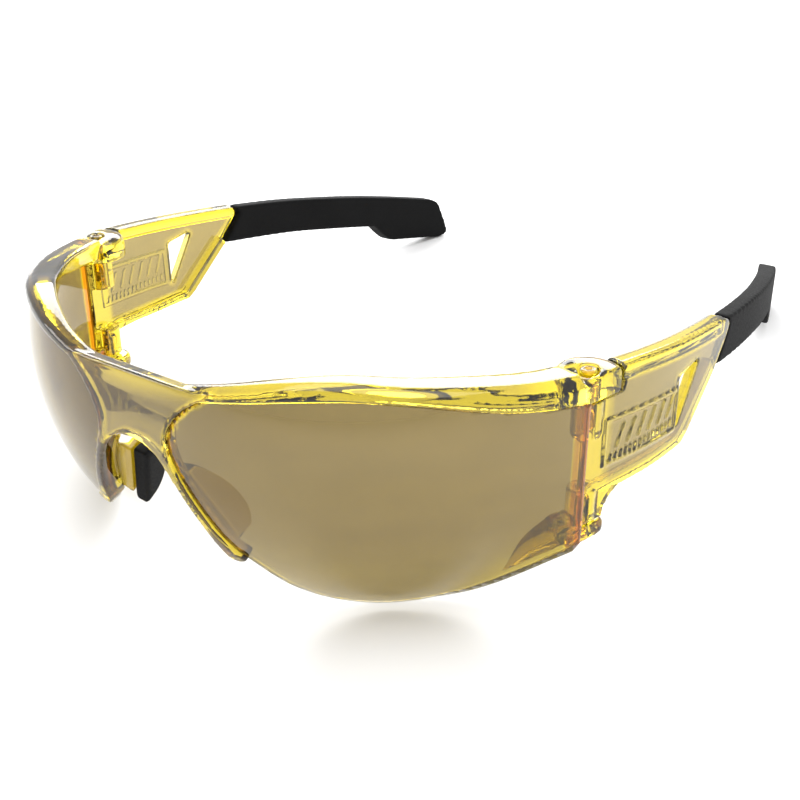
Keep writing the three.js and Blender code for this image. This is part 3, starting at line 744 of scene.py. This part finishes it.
# ---- hinge pins ----
def pin(z0, z1, head):
    """A pin with an eased head; head is 1 where it is at the top and -1 where it is at the bottom."""
    neck = PIN_R - 0.15
    if head > 0:
        profile = [(0, z0), (neck, z0), (PIN_R, z0 + 0.3), (PIN_R, z1 - PIN_HEAD_T),
                   (PIN_HEAD_R, z1 - PIN_HEAD_T), (PIN_HEAD_R, z1 - 0.3), (1.35, z1 - 0.05), (0.7, z1),
                   (0.6, z1 - 0.35), (0, z1 - 0.4)]
    else:
        profile = [(0, z0 + 0.4), (0.6, z0 + 0.35), (0.7, z0), (1.35, z0 + 0.05), (PIN_HEAD_R, z0 + 0.3),
                   (PIN_HEAD_R, z0 + PIN_HEAD_T), (PIN_R, z0 + PIN_HEAD_T), (PIN_R, z1 - 0.3), (neck, z1),
                   (0, z1)]
    return spin_round(profile)


both_sides("upper_pin_{}", pin(-6.4, DOME_TOP - 0.1, 1), frame_plastic, "front", "upper_hinge_pin_{}",
           lambda co: 1)
both_sides("lower_pin_{}", pin(BOSS_BOTTOM + 0.2, -20.1, -1), frame_plastic, "front", "lower_hinge_pin_{}",
           lambda co: 1)


# ---- floor, light and camera, in metres and watts ----
FLOOR_HALF, FLOOR_GAP = 4, 0.0002           # the floor lies just under the frame's own zero
FLOOR_DARK, FLOOR_LIGHT, WORLD_LIGHT = (0.93,) * 3, (0.96,) * 3, 1.0
FOCAL_MM, SENSOR_MM = 50, 36


def floor():
    mat, nodes, links, shader = node_tree("studio_floor")
    links.new(ramp(nodes, links, noise(nodes, links, 3, 2), FLOOR_DARK, FLOOR_LIGHT),
              shader.inputs["Base Color"])
    shader.inputs["Roughness"].default_value = 0.9
    shader.inputs["Specular IOR Level"].default_value = 0.1
    bm = bmesh.new()
    bmesh.ops.create_grid(bm, x_segments=2, y_segments=2, size=FLOOR_HALF)
    mesh = bpy.data.meshes.new("studio_floor")
    bm.to_mesh(mesh)
    bm.free()
    mesh.materials.append(mat)
    obj = bpy.data.objects.new("studio_floor", mesh)
    obj.location.z = -FLOOR_GAP
    bpy.context.scene.collection.objects.link(obj)


def softbox(name, place, target, width, height, power):
    """A rectangular lamp that faces the target."""
    light = bpy.data.lights.new(name, "AREA")
    light.shape = "RECTANGLE"
    light.size, light.size_y = width, height
    light.energy = power
    obj = bpy.data.objects.new(name, light)
    obj.location = place
    obj.rotation_euler = (Vector(target) - Vector(place)).to_track_quat("-Z", "Y").to_euler()
    bpy.context.scene.collection.objects.link(obj)


floor()
world = bpy.data.worlds.new("studio")
bpy.context.scene.world = world
world.use_nodes = True
world.node_tree.nodes["Background"].inputs[0].default_value = (1, 1, 1, 1)
world.node_tree.nodes["Background"].inputs[1].default_value = WORLD_LIGHT
softbox("top_light", (0, 0.1, 0.9), (0, 0, 0), 0.9, 0.5, 3)
softbox("back_light", (-0.5, 0.67, 0.46), (0, 0, 0.03), 1.0, 0.45, 9)
softbox("left_light", (-0.8, -0.5, 0.5), (0, 0, 0.03), 0.5, 0.5, 3)

WORN_PLACE = Vector((143.5, -121.3, 81.5))  # where the camera stands, in mm as worn
TURN_RIGHT, LOOK_DOWN = math.radians(36.68), math.radians(25.37)
back = Vector((math.sin(TURN_RIGHT) * math.cos(LOOK_DOWN), -math.cos(TURN_RIGHT) * math.cos(LOOK_DOWN),
               math.sin(LOOK_DOWN)))
right = Vector((math.cos(TURN_RIGHT), math.sin(TURN_RIGHT), 0))
up = back.cross(right)
pose = Matrix((right, up, back)).transposed().to_4x4()
camera = bpy.data.objects.new("camera", bpy.data.cameras.new("camera"))
camera.data.lens = FOCAL_MM
camera.data.sensor_width = SENSOR_MM
camera.data.clip_start = 0.01
bpy.context.scene.collection.objects.link(camera)
camera.matrix_world = Matrix.Translation(PLACE @ WORN_PLACE) @ (TURN @ pose)
bpy.context.scene.camera = camera
bpy.context.scene.view_settings.view_transform = "Standard"
